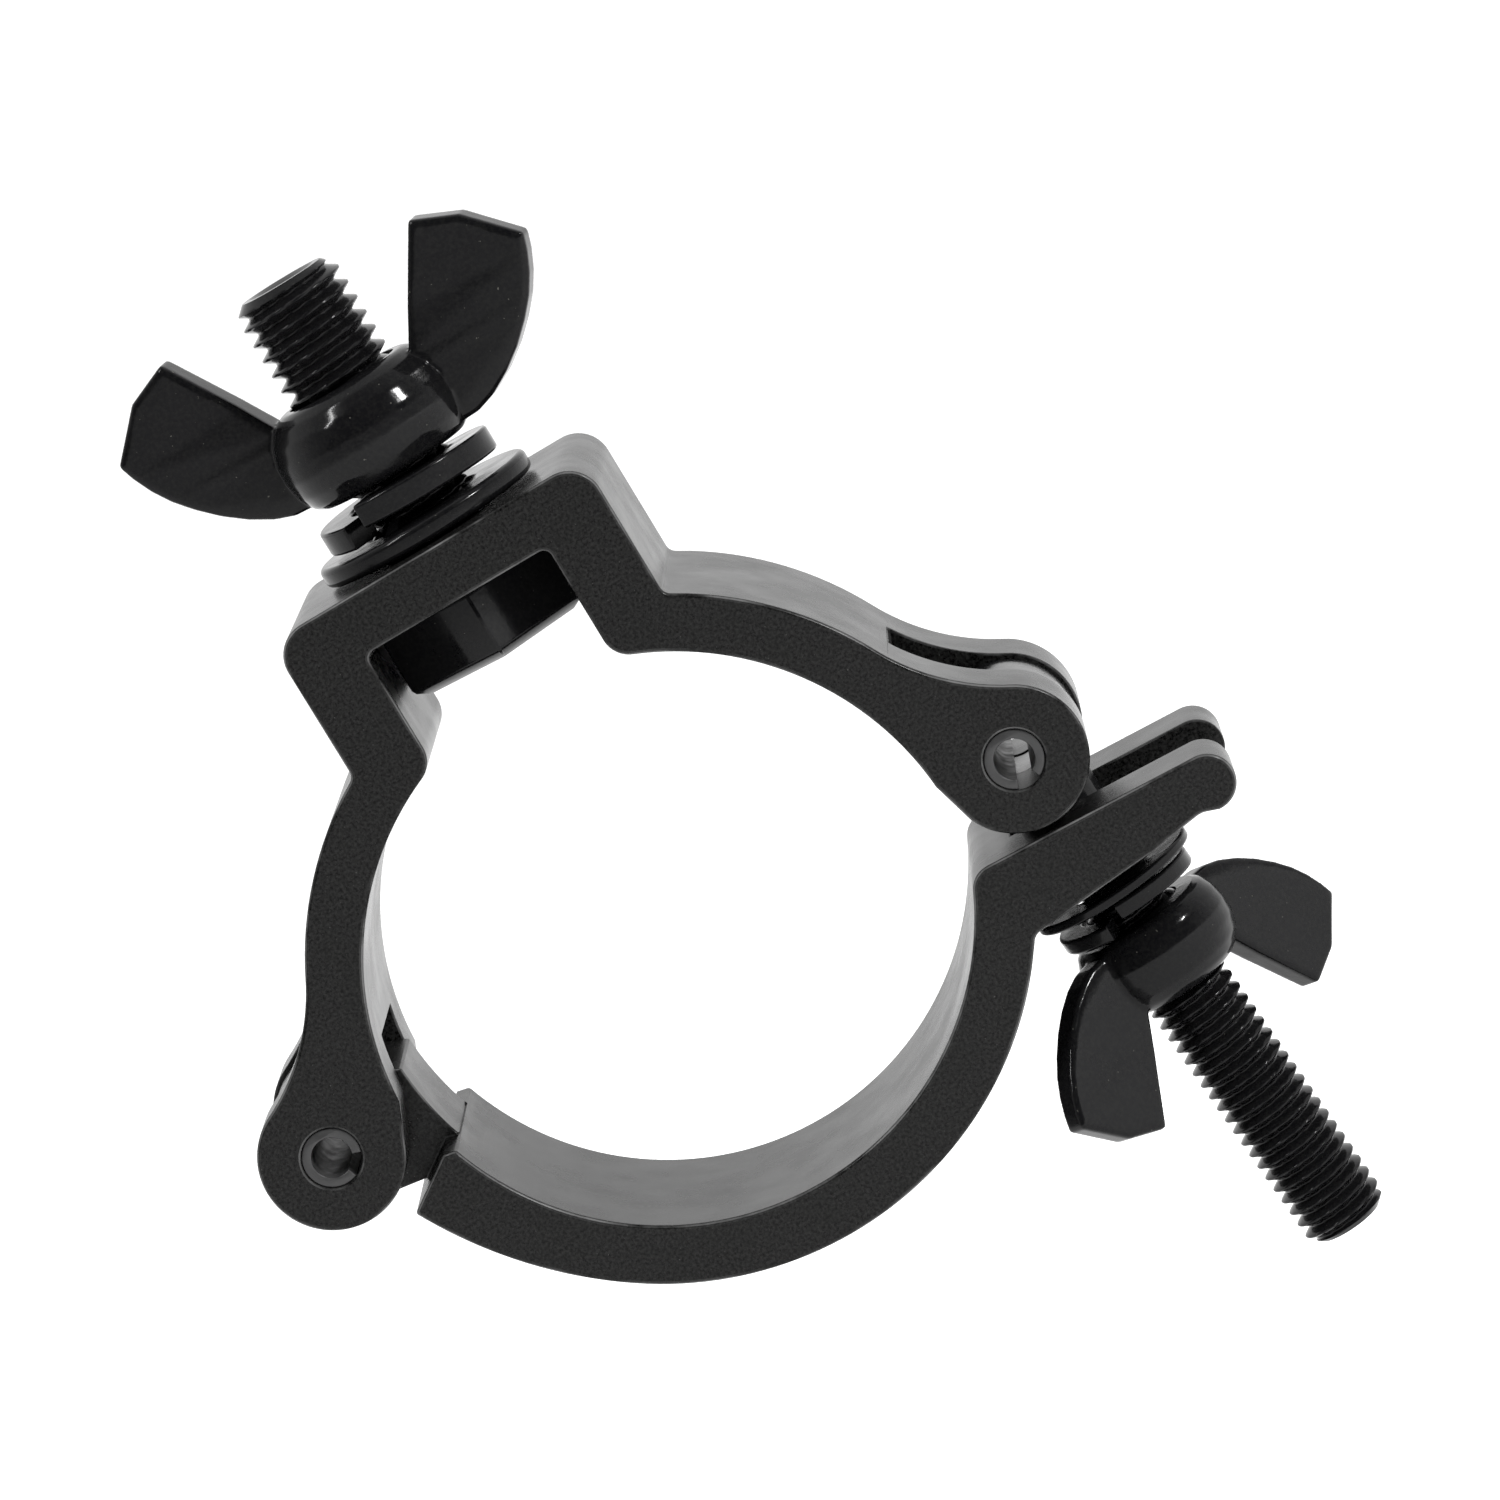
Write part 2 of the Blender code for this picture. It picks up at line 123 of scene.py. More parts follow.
SWING_TURN = Matrix.Rotation(math.radians(180.0 - SWING_TILT), 4, "Y")
SWING_AXIS = Matrix.Translation((SWING[0], 0.0, SWING[1])) @ SWING_TURN


# ---------------------------------------------------------------- outlines in X and Z

def arc(centre, radius, start, end, step=2.0):
    count = max(2, math.ceil(abs(end - start) / step))
    angles = [math.radians(start + (end - start) * i / count) for i in range(count + 1)]
    return [(centre[0] + radius * math.cos(a), centre[1] + radius * math.sin(a)) for a in angles]


def rounded(before, corner, after, radius, step=6.0):
    """The corner between two neighbours, rounded to a radius."""
    p, a, b = Vector(corner), Vector(before), Vector(after)
    u, v = (a - p).normalized(), (b - p).normalized()
    half = u.angle(v) / 2
    centre = p + (u + v).normalized() * (radius / math.sin(half))
    first = p + u * (radius / math.tan(half)) - centre
    last = p + v * (radius / math.tan(half)) - centre
    start = math.degrees(math.atan2(first.y, first.x))
    turn = math.degrees(math.atan2(last.y, last.x)) - start
    turn = (turn + 180.0) % 360.0 - 180.0
    return arc(centre, radius, start, start + turn, step)


def direction(origin, target):
    return math.degrees(math.atan2(target[1] - origin[1], target[0] - origin[0]))


def softened(points, radius):
    """A closed outline with each sharp corner rounded."""
    out = []
    for i, corner in enumerate(points):
        before, after = points[i - 1], points[(i + 1) % len(points)]
        out += rounded(before, corner, after, radius)
    return out


def flare_centre(lobe):
    to_ring, to_lobe = RING_RADIUS + FLARE_RADIUS, LOBE_RADIUS + FLARE_RADIUS
    away = math.hypot(*lobe)
    along = (to_ring**2 - to_lobe**2 + away**2) / (2 * away)
    up = math.sqrt(to_ring**2 - along**2)
    x, z = lobe[0] / away, lobe[1] / away
    return (along * x - up * z, along * z + up * x)


def half_upper_outline(lobe):
    bore = (0.0, 0.0)
    flare = flare_centre(lobe)
    shoulder = math.degrees(math.acos(HAT_HALF_WIDTH / RING_RADIUS))
    shoulder_point = arc(bore, RING_RADIUS, shoulder, shoulder)[0]
    past_shoulder = arc(bore, RING_RADIUS, shoulder - 3.5, shoulder - 3.5)[0]
    lip_x, lip_reach = POCKET_HALF_WIDTH + POCKET_LIP_RADIUS, BORE_RADIUS + POCKET_LIP_RADIUS
    lip_angle = math.degrees(math.acos(lip_x / lip_reach))
    lip_centre = (lip_x, math.sqrt(lip_reach**2 - lip_x**2))
    points = rounded((0.0, HAT_TOP), (HAT_HALF_WIDTH, HAT_TOP), (HAT_HALF_WIDTH, 0.0), 3.0)
    points += rounded((HAT_HALF_WIDTH, HAT_TOP), shoulder_point, past_shoulder, 1.0)
    points += arc(bore, RING_RADIUS, shoulder - 3.5, direction(bore, flare))
    points += arc(flare, FLARE_RADIUS, direction(flare, bore) + 360.0, direction(flare, lobe) + 360.0)[1:]
    points += arc(lobe, LOBE_RADIUS, direction(lobe, flare), LOBE_INSIDE - 360.0, 4.0)[1:]
    points += arc(bore, BORE_RADIUS, BORE_FOOT, lip_angle)
    points += arc(lip_centre, POCKET_LIP_RADIUS, lip_angle + 180.0, 180.0, 5.0)[1:]
    points += rounded((POCKET_HALF_WIDTH, 28.0), (POCKET_HALF_WIDTH, POCKET_TOP), (0.0, POCKET_TOP), 0.8)
    return points


def upper_outline():
    left = half_upper_outline((-HINGE[0], HINGE[1]))
    return half_upper_outline(SWING) + [(-x, z) for x, z in reversed(left)]


def slot_outline(side):
    (x0, z0), (x1, z1) = SLOT_END
    return [(side * x, z) for x, z in ((x0, z0), (x1, z1), (45.0, z1), (45.0, -12.0), (x0, -12.0))]


def lower_outline():
    inner_start = direction(LOWER_CENTRE, (24.3, -8.9))
    inner_corner = (25.35, ARM_TOP_START[1])
    inner_from = arc(LOWER_CENTRE, BORE_RADIUS, inner_start, inner_start)[0]
    outer_end = direction(LOWER_CENTRE, (25.9, -16.2))
    inner_end = STEP_ANGLE - STEP_SLANT
    points = arc(LOWER_CENTRE, BORE_RADIUS, inner_end + 1.2, inner_start + 360.0)
    points += rounded(inner_from, inner_corner, ARM_TOP_END, 2.2)
    points += arc(ARM_TIP_CENTRE, ARM_TIP_RADIUS, 88.0, -95.0, 6.0)
    points += rounded(arc(ARM_TIP_CENTRE, ARM_TIP_RADIUS, -95.0, -95.0)[0], ARM_NECK, ARM_SEAT[0], 2.0)
    points += rounded(ARM_NECK, ARM_SEAT[0], ARM_SEAT[1], 3.0)
    points += rounded(ARM_SEAT[0], ARM_SEAT[1], (25.3, -17.2), 1.2)
    count = 66
    for i in range(count + 1):
        angle = outer_end + 360.0 + (STEP_ANGLE - outer_end - 360.0) * i / count
        thicker = STEP_THICKENING * max(0.0, (STEP_ANGLE + 35.0 - angle) / 35.0) ** 2
        points += arc(LOWER_CENTRE, LOWER_OUTER_RADIUS + thicker, angle, angle)[:1]
    return points + [arc(LOWER_CENTRE, BORE_RADIUS + 1.0, inner_end, inner_end)[0]]


def tongue_outline():
    overlap = STEP_ANGLE + 4.0
    points = arc(LOWER_CENTRE, BORE_RADIUS, 181.5, overlap)
    points += arc(LOWER_CENTRE, LOWER_OUTER_RADIUS - 0.4, overlap, STEP_ANGLE - 1.0)
    points += arc(HINGE, TONGUE_EYE_RADIUS, -98.0, -98.0 - 218.0, 5.0)
    return points


def spring_pin_outline(centre, gap_angle):
    start, end = gap_angle + PIN_GAP_HALF_ANGLE, gap_angle + 360.0 - PIN_GAP_HALF_ANGLE
    return arc(centre, PIN_RADIUS, start, end, 5.0) + arc(centre, PIN_RADIUS - PIN_WALL, end, start, 7.0)


# ---------------------------------------------------------------- solids, in millimetres

def temporary(name, mesh):
    made = bpy.data.objects.new(name, mesh)
    bpy.context.scene.collection.objects.link(made)
    return made


def from_bmesh(name, bm):
    bmesh.ops.recalc_face_normals(bm, faces=bm.faces)
    mesh = bpy.data.meshes.new(name)
    bm.to_mesh(mesh)
    bm.free()
    return temporary(name, mesh)


def bake(obj):
    """The object with its modifiers applied; the old one is removed."""
    bpy.context.view_layer.update()
    mesh = bpy.data.meshes.new_from_object(obj.evaluated_get(bpy.context.evaluated_depsgraph_get()))
    mesh.transform(obj.matrix_world)
    name = obj.name
    bpy.data.objects.remove(obj)
    return temporary(name, mesh)


def extruded(name, outline, width, edge):
    """A solid of an X-Z outline, centred on Y = 0, with the edges of its two faces rounded."""
    curve = bpy.data.curves.new(name, "CURVE")
    curve.dimensions = "2D"
    curve.fill_mode = "BOTH"
    curve.extrude = width / 2 - edge
    curve.bevel_depth = edge
    curve.bevel_resolution = 2
    curve.offset = -edge
    spline = curve.splines.new("POLY")
    spline.points.add(len(outline) - 1)
    for point, (x, z) in zip(spline.points, outline):
        point.co = (x, z, 0.0, 1.0)
    spline.use_cyclic_u = True
    drawn = bpy.data.objects.new(name, curve)
    drawn.rotation_euler.x = math.pi / 2
    bpy.context.scene.collection.objects.link(drawn)
    made = bake(drawn)
    bm = bmesh.new()
    bm.from_mesh(made.data)
    bmesh.ops.remove_doubles(bm, verts=bm.verts, dist=1e-4)
    bmesh.ops.recalc_face_normals(bm, faces=bm.faces)
    bm.to_mesh(made.data)
    bm.free()
    return made


def cylinder(name, radius, length, centre, axis="Y", segments=96):
    bm = bmesh.new()
    bmesh.ops.create_cone(bm, cap_ends=True, segments=segments, radius1=radius, radius2=radius, depth=length)
    if axis == "Y":
        bmesh.ops.rotate(bm, matrix=Matrix.Rotation(math.pi / 2, 3, "X"), verts=bm.verts)
    bmesh.ops.translate(bm, vec=centre, verts=bm.verts)
    return from_bmesh(name, bm)


def block(name, low, high):
    bm = bmesh.new()
    bmesh.ops.create_cube(bm, size=1.0)
    bmesh.ops.scale(bm, vec=[b - a for a, b in zip(low, high)], verts=bm.verts)
    bmesh.ops.translate(bm, vec=[(a + b) / 2 for a, b in zip(low, high)], verts=bm.verts)
    return from_bmesh(name, bm)


def carve(target, *changes):
    """Applies (operation, tool) booleans to the target; the tools are used up."""
    for operation, tool in changes:
        change = target.modifiers.new("change", "BOOLEAN")
        change.operation = operation
        change.solver = "EXACT"
        change.object = tool
    done = bake(target)
    for _, tool in changes:
        bpy.data.objects.remove(tool)
    return done


def soften_edges(obj, width, angle=38.0, segments=2):
    """Rounds the edges sharper than an angle, once flat faces are merged."""
    bm = bmesh.new()
    bm.from_mesh(obj.data)
    bmesh.ops.remove_doubles(bm, verts=bm.verts, dist=1e-4)
    bmesh.ops.dissolve_limit(bm, angle_limit=math.radians(0.2), verts=bm.verts, edges=bm.edges)
    bm.to_mesh(obj.data)
    bm.free()
    bevel = obj.modifiers.new("edges", "BEVEL")
    bevel.width = width
    bevel.segments = segments
    bevel.limit_method = "ANGLE"
    bevel.angle_limit = math.radians(angle)
    bevel.use_clamp_overlap = False
    bevel.miter_outer = "MITER_ARC"
    return bake(obj)


def turned(name, profile, segments=96):
    """A ring turned about Z from a closed (radius, height) profile."""
    bm = bmesh.new()
    rings = []
    for i in range(segments):
        c, s = math.cos(2 * math.pi * i / segments), math.sin(2 * math.pi * i / segments)
        rings.append([bm.verts.new((r * c, r * s, h)) for r, h in profile])
    for i, ring in enumerate(rings):
        other = rings[(i + 1) % segments]
        for j in range(len(profile)):
            k = (j + 1) % len(profile)
            bm.faces.new((ring[j], other[j], other[k], ring[k]))
    return from_bmesh(name, bm)


def grid_solid(name, rows):
    """A tube skinned over rings of points, with its two ends filled by fans."""
    bm = bmesh.new()
    rings = [[bm.verts.new(p) for p in row] for row in rows]
    for a, b in zip(rings, rings[1:]):
        for j in range(len(a)):
            k = (j + 1) % len(a)
            bm.faces.new((a[j], a[k], b[k], b[j]))
    for ring, row in ((rings[0], rows[0]), (rings[-1], rows[-1])):
        centre = bm.verts.new([sum(p[axis] for p in row) / len(row) for axis in range(3)])
        for j in range(len(ring)):
            bm.faces.new((centre, ring[j], ring[(j + 1) % len(ring)]))
    return from_bmesh(name, bm)


def thread_radius(size, height, turn, start, top):
    """Radius of a right-hand thread at a height and a turn (0 to 1); it runs out at start."""
    pitch, crest = size["pitch"], size["radius"]
    phase = (height / pitch - turn) % 1.0
    ridge = abs(2.0 * phase - 1.0)
    ridge = min(1.0, max(0.0, (ridge - 0.12) / 0.76))
    depth = THREAD_DEPTH_SHARE * pitch * min(1.0, max(0.0, (height - start) / pitch))
    radius = crest - depth * (1.0 - ridge)
    return min(radius, crest - THREAD_DEPTH_SHARE * pitch - 0.15 + (top - height) * 1.1)


def threaded(name, size, bottom, start, top, around=64, per_pitch=14):
    step = size["pitch"] / per_pitch
    count = math.ceil((top - start) / step)
    heights = [bottom] + [start + (top - start) * i / count for i in range(count + 1)]
    rows = []
    for height in heights:
        row = []
        for i in range(around):
            angle = 2 * math.pi * i / around
            r = thread_radius(size, height, i / around, start, top)
            row.append((r * math.cos(angle), r * math.sin(angle), height))
        rows.append(row)
    for share, dip in ((0.82, 0.0), (0.7, 0.25), (0.3, 0.45)):
        rows.append([(x * share, y * share, top - dip) for x, y, _ in rows[count + 1]])
    return grid_solid(name, rows)


def hex_head(name, across, low, high):
    """Hexagon prism with rounded edges; its lower face is chamfered as on a real head."""
    corner = across / math.sqrt(3)
    angles = [math.radians(a) for a in range(30, 390, 60)]
    ring = softened([(corner * math.cos(a), corner * math.sin(a)) for a in angles], 0.35)
    face = across / 2 * 0.955
    rows = []
    for share in (0.5, 0.9, 1.0):
        reach = [face * share / math.hypot(x, y) for x, y in ring]
        rows.append([(x * r, y * r, low) for (x, y), r in zip(ring, reach)])
    slope = math.tan(math.radians(27.0))
    for inset, lift in ((0.25, 0.0), (0.0, 0.3)):
        row = []
        for x, y in ring:
            r = math.hypot(x, y)
            near = min(1.0, (r - inset) / r)
            row.append((x * near, y * near, low + (r - inset - face) * slope + lift))
        rows.append(row)
    rows.append([(x, y, high - 0.25) for x, y in ring])
    rows.append([(x * 0.985, y * 0.985, high) for x, y in ring])
    return grid_solid(name, rows)


def lock_washer(name, inner, outer, thickness, rise, base, start):
    """Split spring washer: a square bar wound into one open left-hand turn, high end first."""
    turn, steps = 346.0, 120
    corners = [(inner, 0.0), (outer, 0.0), (outer, thickness), (inner, thickness)]
    section = softened(corners, WASHER_EDGE)
    rows = []
    for i in range(steps + 1):
        share = i / steps
        angle = math.radians(start + turn * share)
        lift = base + rise * (1.0 - share)
        rows.append([(a * math.cos(angle), a * math.sin(angle), lift + z) for a, z in section])
    made = grid_solid(name, rows)
    return soften_edges(made, 0.15, 60.0)


def flat_washer(name, inner, outer, low, high):
    corners = [(inner, low), (outer, low), (outer, high), (inner, high)]
    return turned(name, softened(corners, 0.3 * (high - low)), 128)


def wing_outline(side, size):
    shape = [(5.0, 6.6), (6.6, 7.9), (8.6, 11.4), (12.5, 17.7), (16.5, 16.0), (20.4, 11.9)]
    shape += [(19.9, 10.4), (19.1, 8.7), (18.0, 7.0), (16.6, 5.4), (14.9, 3.8), (13.0, 2.4)]
    shape += [(11.0, 1.3), (9.2, 0.7), (5.0, 0.5)]
    return [(side * r * size["reach"], h * size["rise"]) for r, h in shape]


def wing_nut(name, size):
    """Forged wing nut that stands on Z = 0, with its wings along X and its joins filled."""
    scale, bore = size["body"], size["radius"] + 0.2
    dome = [(6.9, 0.0), (7.7, 0.5), (8.35, 1.8), (8.65, 3.4), (8.6, 5.0), (8.1, 6.6)]
    dome += [(7.3, 7.8), (6.5, 8.45), (5.9, 8.7)]
    rows = []
    for r, h in dome:
        angles = [2 * math.pi * i / 96 for i in range(96)]
        rows.append([(r * scale * math.cos(a), r * scale * math.sin(a), h * scale) for a in angles])
    body = grid_solid(name, rows)
    wings = []
    for side in (-1, 1):
        wing = extruded("wing", softened(wing_outline(side, size), 0.3), 2.9 * size["reach"], 0.35)
        for vertex in wing.data.vertices:
            reach = abs(vertex.co.x) / size["reach"]
            vertex.co.y *= 1.12 - 0.018 * max(0.0, reach - 8.0) + 0.05 * max(0.0, 9.0 - reach)
        wings.append(("UNION", wing))
    nut = carve(body, *wings)
    remesh = nut.modifiers.new("fuse", "REMESH")
    remesh.mode = "VOXEL"
    remesh.voxel_size = 0.2
    smooth = nut.modifiers.new("fillets", "SMOOTH")
    smooth.factor = 0.5
    smooth.iterations = 5
    nut = bake(nut)
    below = block("below", (-12, -12, -5), (12, 12, 0.05))
    hole = cylinder("hole", bore, 40.0, (0.0, 0.0, 0.0), "Z")
    nut = carve(nut, ("DIFFERENCE", below), ("DIFFERENCE", hole))
    return nut


def placed(obj, matrix):
    obj.data.transform(matrix)
    return obj


# ---------------------------------------------------------------- finishes

def nodes_of(material):
    material.use_nodes = True
    return material.node_tree.nodes, material.node_tree.links


def noise(nodes, links, coordinates, scale, detail=4.0, roughness=0.55):
    made = nodes.new("ShaderNodeTexNoise")
    made.inputs["Scale"].default_value = scale
    made.inputs["Detail"].default_value = detail
    made.inputs["Roughness"].default_value = roughness
    links.new(coordinates, made.inputs["Vector"])
    return made.outputs["Fac"]


def remap(nodes, links, value, low, high, out_low, out_high):
    made = nodes.new("ShaderNodeMapRange")
    made.inputs["From Min"].default_value = low
    made.inputs["From Max"].default_value = high
    made.inputs["To Min"].default_value = out_low
    made.inputs["To Max"].default_value = out_high
    links.new(value, made.inputs["Value"])
    return made.outputs["Result"]


def blend_colours(nodes, links, share, first, second):
    made = nodes.new("ShaderNodeMix")
    made.data_type = "RGBA"
    links.new(share, made.inputs["Factor"])
    for socket, value in ((made.inputs["A"], first), (made.inputs["B"], second)):
        if isinstance(value, tuple):
            socket.default_value = (*value, 1.0)
        else:
            links.new(value, socket)
    return made.outputs["Result"]


def bump(nodes, links, height, distance, strength, below=None):
    made = nodes.new("ShaderNodeBump")
    made.inputs["Distance"].default_value = distance
    made.inputs["Strength"].default_value = strength
    links.new(height, made.inputs["Height"])
    if below:
        links.new(below, made.inputs["Normal"])
    return made.outputs["Normal"]


def edge_wear_and_painted_highlight(nodes, links, cloud):
    """Share of lighter colour on the rounded edges of the sawn faces, uneven along them: partly wear to bare
    metal, partly a painted highlight along the edges.
    """
    split = nodes.new("ShaderNodeSeparateXYZ")
    links.new(nodes.new("ShaderNodeNewGeometry").outputs["True Normal"], split.inputs["Vector"])
    across = nodes.new("ShaderNodeMath")
    across.operation = "ABSOLUTE"
    links.new(split.outputs["Y"], across.inputs[0])
    share = remap(nodes, links, across.outputs["Value"], 0.3, 0.6, 0.0, 1.0)
    limits = (
        remap(nodes, links, across.outputs["Value"], 0.90, 0.98, 1.0, 0.0),
        remap(nodes, links, cloud, 0.40, 0.62, 0.0, 0.8),
    )
    for limit in limits:
        product = nodes.new("ShaderNodeMath")
        product.operation = "MULTIPLY"
        links.new(share, product.inputs[0])
        links.new(limit, product.inputs[1])
        share = product.outputs["Value"]
    return share


def jaw_finish():
    """Satin black on aluminium: fine pale specks, saw lines on the cut faces, and rounded edges lightened
    partly by wear and partly by a painted highlight.
    """
    made = bpy.data.materials.new("jaw_black")
    nodes, links = nodes_of(made)
    shader = nodes["Principled BSDF"]
    place = nodes.new("ShaderNodeTexCoord").outputs["Object"]
    cloud = noise(nodes, links, place, 180.0, 3.0)
    grain = noise(nodes, links, place, 3600.0, 3.0, 0.7)
    specks = remap(nodes, links, noise(nodes, links, place, 5200.0, 1.0, 0.3), 0.74, 0.84, 0.0, 1.0)
    mottle = remap(nodes, links, grain, 0.36, 0.64, 0.0, 1.0)
    colour = blend_colours(nodes, links, mottle, (0.0, 0.0, 0.0), (0.014, 0.014, 0.0136))
    colour = blend_colours(nodes, links, specks, colour, (0.06, 0.06, 0.058))
    wear_and_painted_highlight = edge_wear_and_painted_highlight(nodes, links, cloud)
    # Lighter grey on the rounded edges: partly wear to bare metal, partly a painted highlight.
    colour = blend_colours(nodes, links, wear_and_painted_highlight, colour, (0.13, 0.13, 0.13))
    links.new(colour, shader.inputs["Base Color"])
    links.new(remap(nodes, links, cloud, 0.3, 0.7, 0.22, 0.30), shader.inputs["Roughness"])
    shader.inputs["Specular IOR Level"].default_value = 0.12
    stretch = nodes.new("ShaderNodeMapping")
    stretch.inputs["Scale"].default_value = (2600.0, 1.0, 90.0)
    links.new(place, stretch.inputs["Vector"])
    lines = noise(nodes, links, stretch.outputs["Vector"], 1.0, 3.0)
    normal = bump(nodes, links, lines, 0.00002, 0.15)
    normal = bump(nodes, links, grain, 0.00002, 0.3, normal)
    links.new(normal, shader.inputs["Normal"])
    return made


def hardware_finish():
    """Gloss black dipped over steel: uneven sheen, soft ripples and sags, dust specks."""
    made = bpy.data.materials.new("hardware_black")
    nodes, links = nodes_of(made)
    shader = nodes["Principled BSDF"]
    place = nodes.new("ShaderNodeTexCoord").outputs["Object"]
    cloud = noise(nodes, links, place, 260.0, 4.0)
    ripple = noise(nodes, links, place, 420.0, 3.0)
    fine = noise(nodes, links, place, 3000.0, 2.0)
    specks = remap(nodes, links, noise(nodes, links, place, 3600.0, 1.0, 0.3), 0.78, 0.84, 0.0, 1.0)
    colour = blend_colours(nodes, links, cloud, (0.002, 0.002, 0.0025), (0.006, 0.006, 0.0065))
    mottle = remap(nodes, links, fine, 0.4, 0.7, 0.0, 1.0)
    colour = blend_colours(nodes, links, mottle, colour, (0.007, 0.007, 0.007))
    colour = blend_colours(nodes, links, specks, colour, (0.07, 0.068, 0.06))
    links.new(colour, shader.inputs["Base Color"])
    links.new(remap(nodes, links, cloud, 0.35, 0.65, 0.10, 0.20), shader.inputs["Roughness"])
    shader.inputs["Specular IOR Level"].default_value = 0.1
    shader.inputs["Coat Weight"].default_value = 0.06
    shader.inputs["Coat Roughness"].default_value = 0.08
    normal = bump(nodes, links, ripple, 0.0001, 0.3)
    normal = bump(nodes, links, fine, 0.00002, 0.3, normal)
    links.new(normal, shader.inputs["Normal"])
    return made


def pin_finish():
    """Dark spring steel with paler, scratched ends."""
    made = bpy.data.materials.new("pin_dark_steel")
    nodes, links = nodes_of(made)
    shader = nodes["Principled BSDF"]
    place = nodes.new("ShaderNodeTexCoord").outputs["Object"]
    cloud = noise(nodes, links, place, 900.0, 4.0)
    colour = blend_colours(nodes, links, cloud, (0.012, 0.012, 0.0125), (0.04, 0.04, 0.04))
    links.new(colour, shader.inputs["Base Color"])
    shader.inputs["Metallic"].default_value = 0.2
    links.new(remap(nodes, links, cloud, 0.3, 0.7, 0.3, 0.5), shader.inputs["Roughness"])
    links.new(bump(nodes, links, cloud, 0.00005, 0.3), shader.inputs["Normal"])
    return made


def piece(obj, name, node, body, material, smooth=34.0):
    """Turns a drawn solid into the visible piece that stands for a node."""
    obj.data.transform(Matrix.Scale(MM, 4))
    obj.name = name
    mesh = obj.data
    mesh.name = name
    mesh.materials.clear()
    mesh.materials.append(material)
    for polygon in mesh.polygons:
        polygon.use_smooth = True
        polygon.material_index = 0
    mesh.set_sharp_from_angle(angle=math.radians(smooth))
    weighted = obj.modifiers.new("weighted", "WEIGHTED_NORMAL")
    weighted.keep_sharp = True
    obj = bake(obj)
    obj.name = name
    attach(obj, body)
    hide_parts(node)
    return obj


# ---------------------------------------------------------------- pieces

def upper_jaw():
    jaw = extruded("jaw", upper_outline(), JAW_WIDTH, EDGE_ROUND)
    changes = []
    for side, (x, z), width in ((-1, HINGE, TONGUE_SLOT_WIDTH), (1, SWING, EYE_SLOT_WIDTH)):
        hole = cylinder("hole", PIN_RADIUS + 0.03, 40.0, (x, 0.0, z), "Y", 72)
        changes.append(("DIFFERENCE", extruded("slot", slot_outline(side), width, 0.0)))
        changes.append(("DIFFERENCE", hole))
    changes.append(("DIFFERENCE", cylinder("bolt_hole", HAT_HOLE_RADIUS, 12.0, (0.0, 0.0, 38.5), "Z")))
    jaw = carve(jaw, *changes)
    return soften_edges(jaw, 0.2, 50.0)


def lower_jaw():
    jaw = extruded("jaw", lower_outline(), JAW_WIDTH, EDGE_ROUND)
    tongue = extruded("tongue", tongue_outline(), TONGUE_WIDTH, 0.2)
    half = FORK_SLOT_WIDTH / 2
    jaw = carve(
        jaw,
        ("UNION", tongue),
        ("DIFFERENCE", cylinder("hole", PIN_RADIUS + 0.15, 40.0, (HINGE[0], 0.0, HINGE[1]), "Y", 72)),
        ("DIFFERENCE", block("fork", (FORK_SLOT_END_X, -half, -20.0), (60.0, half, 0.0))),
    )
    return soften_edges(jaw, 0.2, 50.0)


def mounting_bolt():
    shank = threaded("shank", M10, HEAD_TOP - 1.0, HEAD_TOP + 1.0, BOLT_END_Z)
    head = hex_head("head", HEAD_ACROSS_FLATS, HEAD_TOP - HEAD_HEIGHT, HEAD_TOP)
    head = placed(head, Matrix.Rotation(math.radians(HEAD_TURN), 4, "Z"))
    return carve(shank, ("UNION", head))


def swing_bolt():
    shank = threaded("shank", M8, SWING_EYE_RADIUS - 2.0, SWING_EYE_RADIUS + 3.5, SWING_LENGTH)
    eye = extruded("eye", arc((0.0, 0.0), SWING_EYE_RADIUS, 0.0, 355.0, 5.0), SWING_EYE_WIDTH, 0.6)
    hole = cylinder("hole", PIN_RADIUS + 0.15, 20.0, (0.0, 0.0, 0.0), "Y", 72)
    return placed(carve(shank, ("UNION", eye), ("DIFFERENCE", hole)), SWING_AXIS)


def nut_turn(height, degrees):
    return Matrix.Translation((0.0, 0.0, height)) @ Matrix.Rotation(math.radians(degrees), 4, "Z")


